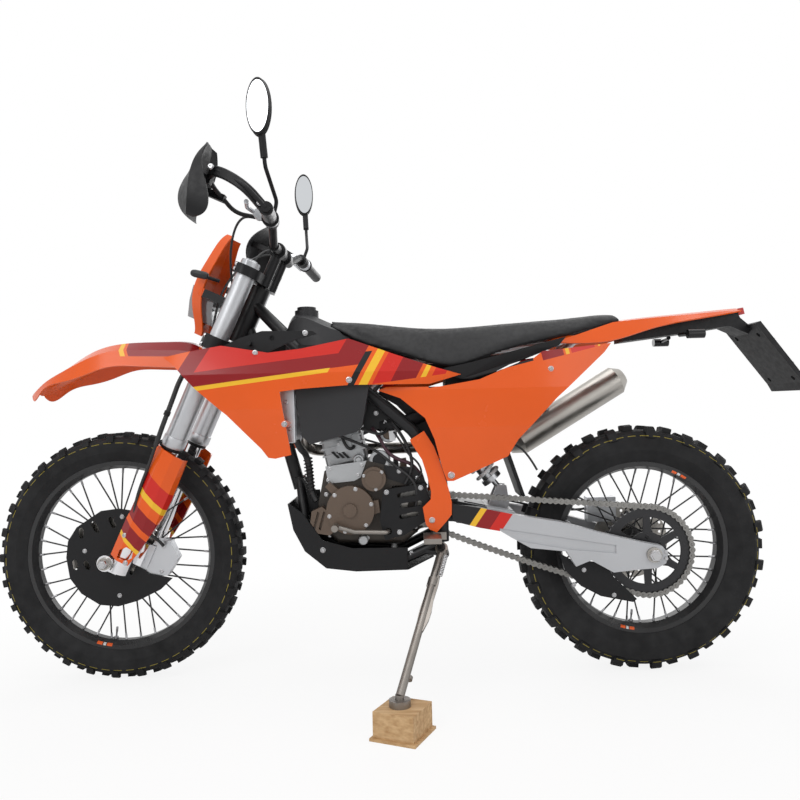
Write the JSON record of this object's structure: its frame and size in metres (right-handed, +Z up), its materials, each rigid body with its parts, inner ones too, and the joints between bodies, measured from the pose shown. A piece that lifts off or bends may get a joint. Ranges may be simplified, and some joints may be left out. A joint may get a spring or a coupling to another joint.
{
  "type": "dirt bike",
  "caption": "Orange enduro dirt bike on its side stand and a wooden block, with wire-spoke wheels, knobby tyres, chain drive, hand guards, mirrors and a headlamp mask.",
  "frame": {"origin": "on the floor, under the middle of the whole part's box", "axes": "+Z up, +X to the rear of the bike, +Y to the rider's right; the bike leans to the left, toward -Y"},
  "size_m": [2.287, 0.8624, 1.5777],
  "materials": {
    "tyre_rubber": "matt, moulded knobs",
    "black_alloy": "satin black anodised",
    "black_metal": "satin black powder coat",
    "orange_plastic": "moulded gloss with printed trim",
    "black_plastic": "grained matt",
    "translucent_plastic": "satin, smoke grey",
    "silver_alloy": "cast and machined, satin",
    "steel_bare": "brushed",
    "chrome_tube": "hard chrome",
    "bronze_cover": "satin bronze",
    "chain_steel": "oiled",
    "seat_cover": "ribbed vinyl",
    "lamp_lens": "clear",
    "red_lens": "gloss",
    "white_spring": "gloss white",
    "mirror_black": "satin housing with silvered glass",
    "block_wood": "sawn, unfinished"
  },
  "bodies": {
    "front_wheel": {"front_tyre": "tyre_rubber", "front_rim": "black_alloy", "front_hub": "black_alloy", "front_disc": "steel_bare"},
    "rear_wheel": {"rear_tyre": "tyre_rubber", "rear_rim": "black_alloy", "rear_hub": "black_alloy", "rear_disc": "steel_bare", "rear_sprocket": "steel_bare"},
    "steering": {"fork_tubes": "silver_alloy", "fork_legs": "chrome_tube", "front_axle": "steel_bare", "triple_clamps": "black_alloy", "fork_guards": "orange_plastic", "front_caliper": "silver_alloy", "disc_guard": "black_plastic", "handlebar": "black_metal", "hand_controls": "silver_alloy", "hand_guards": "black_plastic", "mirrors": "mirror_black", "headlamp_mask": "orange_plastic", "headlamp": "lamp_lens", "front_fender": "orange_plastic"},
    "side_stand": {"side_stand": "silver_alloy"},
    "chassis": {"frame": "black_metal", "subframe": "silver_alloy", "engine_cases": "silver_alloy", "front_sprocket": "steel_bare", "engine_cylinder": "silver_alloy", "engine_covers": "bronze_cover", "exhaust_pipe": "steel_bare", "muffler": "steel_bare", "radiators": "silver_alloy", "fuel_tank": "translucent_plastic", "seat": "seat_cover", "shrouds": "orange_plastic", "shroud_wings": "black_plastic", "side_panels": "orange_plastic", "rear_fender": "orange_plastic", "plate_bracket": "black_plastic", "tail_lights": "red_lens", "skid_plate": "black_plastic", "frame_guards": "orange_plastic", "swingarm": "silver_alloy", "rear_axle": "steel_bare", "chain_guards": "black_plastic", "chain": "chain_steel", "shock_spring": "white_spring", "shock_body": "silver_alloy", "foot_controls": "silver_alloy", "rear_caliper": "silver_alloy", "airbox": "black_plastic", "throttle_body": "black_plastic", "wood_block": "block_wood"}
  },
  "joints": [
    {"name": "steering", "type": "hinge", "parent": "chassis", "child": "steering", "pos_m": [-0.46999, 0.02865, 0.91056], "axis": [0.4147, -0.0793, 0.9065], "range_deg": [-42, 42]},
    {"name": "front_wheel_spin", "type": "hinge", "parent": "steering", "child": "front_wheel", "pos_m": [-0.79252, 0.07762, 0.35086], "axis": [0, 0.9962, 0.0872], "continuous": true},
    {"name": "rear_wheel_spin", "type": "hinge", "parent": "chassis", "child": "rear_wheel", "pos_m": [0.68748, 0.07823, 0.34389], "axis": [0, 0.9962, 0.0872], "continuous": true},
    {"name": "side_stand_fold", "type": "hinge", "parent": "chassis", "child": "side_stand", "pos_m": [0.11948, -0.06078, 0.36084], "axis": [-0.1664, -0.6821, 0.7121], "range_deg": [0, 105]}
  ]
}
